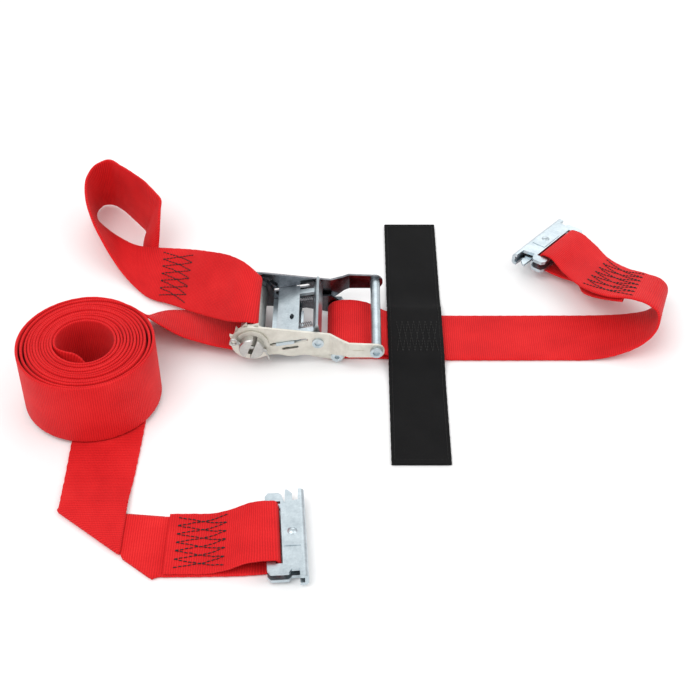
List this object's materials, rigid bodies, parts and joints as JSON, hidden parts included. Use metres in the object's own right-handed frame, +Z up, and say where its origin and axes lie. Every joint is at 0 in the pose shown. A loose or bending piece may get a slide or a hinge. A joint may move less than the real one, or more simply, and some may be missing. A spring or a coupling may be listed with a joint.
{
  "type": "ratchet strap",
  "caption": "Ratchet tensioner on woven webbing, with a sprung folded-plate track fitting on each end, a pull loop and a storage pad, part rolled and part laid out.",
  "frame": {"origin": "on the floor, midway between the ratchet's side plates, under the spindle's axis", "axes": "+X from the spindle toward the handle's grip, +Y toward the ratchet's far side plate, +Z up from the floor"},
  "size_m": [0.474, 0.4079, 0.0525],
  "materials": {
    "webbing": "ribbed woven polyester, red, slightly shiny",
    "pad": "black hook-and-loop strip, matt",
    "zinc_steel": "bright zinc plate, light blue-white",
    "plate_steel": "zinc plate, light warm grey",
    "spindle_steel": "zinc plate, darker grey",
    "spring_steel": "drawn spring wire"
  },
  "bodies": {
    "frame": {"frame_side_near": "plate_steel", "frame_side_far": "plate_steel", "frame_cross_plate": "zinc_steel", "anchor_bolt": "zinc_steel", "anchor_nut": "zinc_steel", "lock_pawl_spring": "spring_steel", "short_strap_anchor_loop": "webbing", "short_strap_run": "webbing", "short_strap_fold": "webbing", "short_strap_return": "webbing", "short_strap_fitting_loop": "webbing", "short_strap_sewn_end": "webbing", "storage_pad": "pad", "long_strap_roll": "webbing", "long_strap_lead": "webbing", "long_strap_spindle_pass": "webbing", "long_strap_tail": "webbing", "pull_loop": "webbing", "pull_loop_return": "webbing", "long_strap_run": "webbing", "long_strap_diagonal_fold": "webbing", "long_strap_end_run": "webbing", "long_strap_fitting_loop": "webbing"},
    "spindle": {"spindle_half_left": "spindle_steel", "spindle_half_right": "spindle_steel", "ratchet_wheel_near": "plate_steel", "ratchet_wheel_far": "plate_steel", "spindle_washer_near": "spindle_steel", "spindle_washer_far": "spindle_steel", "cotter_pin_near": "spindle_steel", "cotter_pin_far": "spindle_steel"},
    "handle": {"handle_side_near": "plate_steel", "handle_side_far": "plate_steel", "grip_tube": "zinc_steel", "grip_bolt": "zinc_steel", "cross_rod": "zinc_steel", "drive_pawl_spring_near": "spring_steel", "drive_pawl_spring_far": "spring_steel"},
    "drive_pawl": {"drive_pawl": "zinc_steel"},
    "lock_pawl": {"lock_pawl": "zinc_steel"},
    "fitting_long": {"fitting_body_long": "zinc_steel", "fitting_rivet_long": "zinc_steel", "fitting_latch_spring_long": "spring_steel"},
    "latch_long": {"fitting_latch_long": "zinc_steel"},
    "fitting_short": {"fitting_body_short": "zinc_steel", "fitting_rivet_short": "zinc_steel", "fitting_latch_spring_short": "spring_steel"},
    "latch_short": {"fitting_latch_short": "zinc_steel"}
  },
  "joints": [
    {"name": "handle_swing", "type": "hinge", "parent": "frame", "child": "handle", "pos_m": [0, 0, 0.0215], "axis": [0, -1, 0], "range_deg": [0, 130]},
    {"name": "spindle_turn", "type": "hinge", "parent": "frame", "child": "spindle", "pos_m": [0, 0, 0.0215], "axis": [0, -1, 0], "continuous": true, "deforming": ["long_strap_spindle_pass"]},
    {"name": "drive_pawl_slide", "type": "slide", "parent": "handle", "child": "drive_pawl", "axis": [0.9836, 0, 0.1805], "range_m": [0, 0.005], "stiffness_N_per_m": 600, "springref_m": -0.004, "deforming": ["drive_pawl_spring_near", "drive_pawl_spring_far"]},
    {"name": "lock_pawl_slide", "type": "slide", "parent": "frame", "child": "lock_pawl", "axis": [1, 0, 0], "range_m": [0, 0.0045], "stiffness_N_per_m": 500, "springref_m": -0.003, "deforming": ["lock_pawl_spring"]},
    {"name": "fitting_long_swivel", "type": "hinge", "parent": "frame", "child": "fitting_long", "pos_m": [0.02034, -0.20331, 0.0074], "axis": [0.0698, -0.9976, 0], "range_deg": [0, 45], "deforming": ["long_strap_fitting_loop"]},
    {"name": "latch_long_slide", "type": "slide", "parent": "fitting_long", "child": "latch_long", "axis": [-0.9976, -0.0698, 0], "range_m": [0, 0.0035], "stiffness_N_per_m": 300, "springref_m": -0.004, "deforming": ["fitting_latch_spring_long"]},
    {"name": "fitting_short_swivel", "type": "hinge", "parent": "frame", "child": "fitting_short", "pos_m": [0.23928, 0.09102, 0.011], "axis": [0.5852, 0.8004, -0.1301], "range_deg": [0, 45], "deforming": ["short_strap_fitting_loop"]},
    {"name": "latch_short_slide", "type": "slide", "parent": "fitting_short", "child": "latch_short", "axis": [0.8073, -0.5902, 0], "range_m": [0, 0.0035], "stiffness_N_per_m": 300, "springref_m": -0.004, "deforming": ["fitting_latch_spring_short"]}
  ]
}
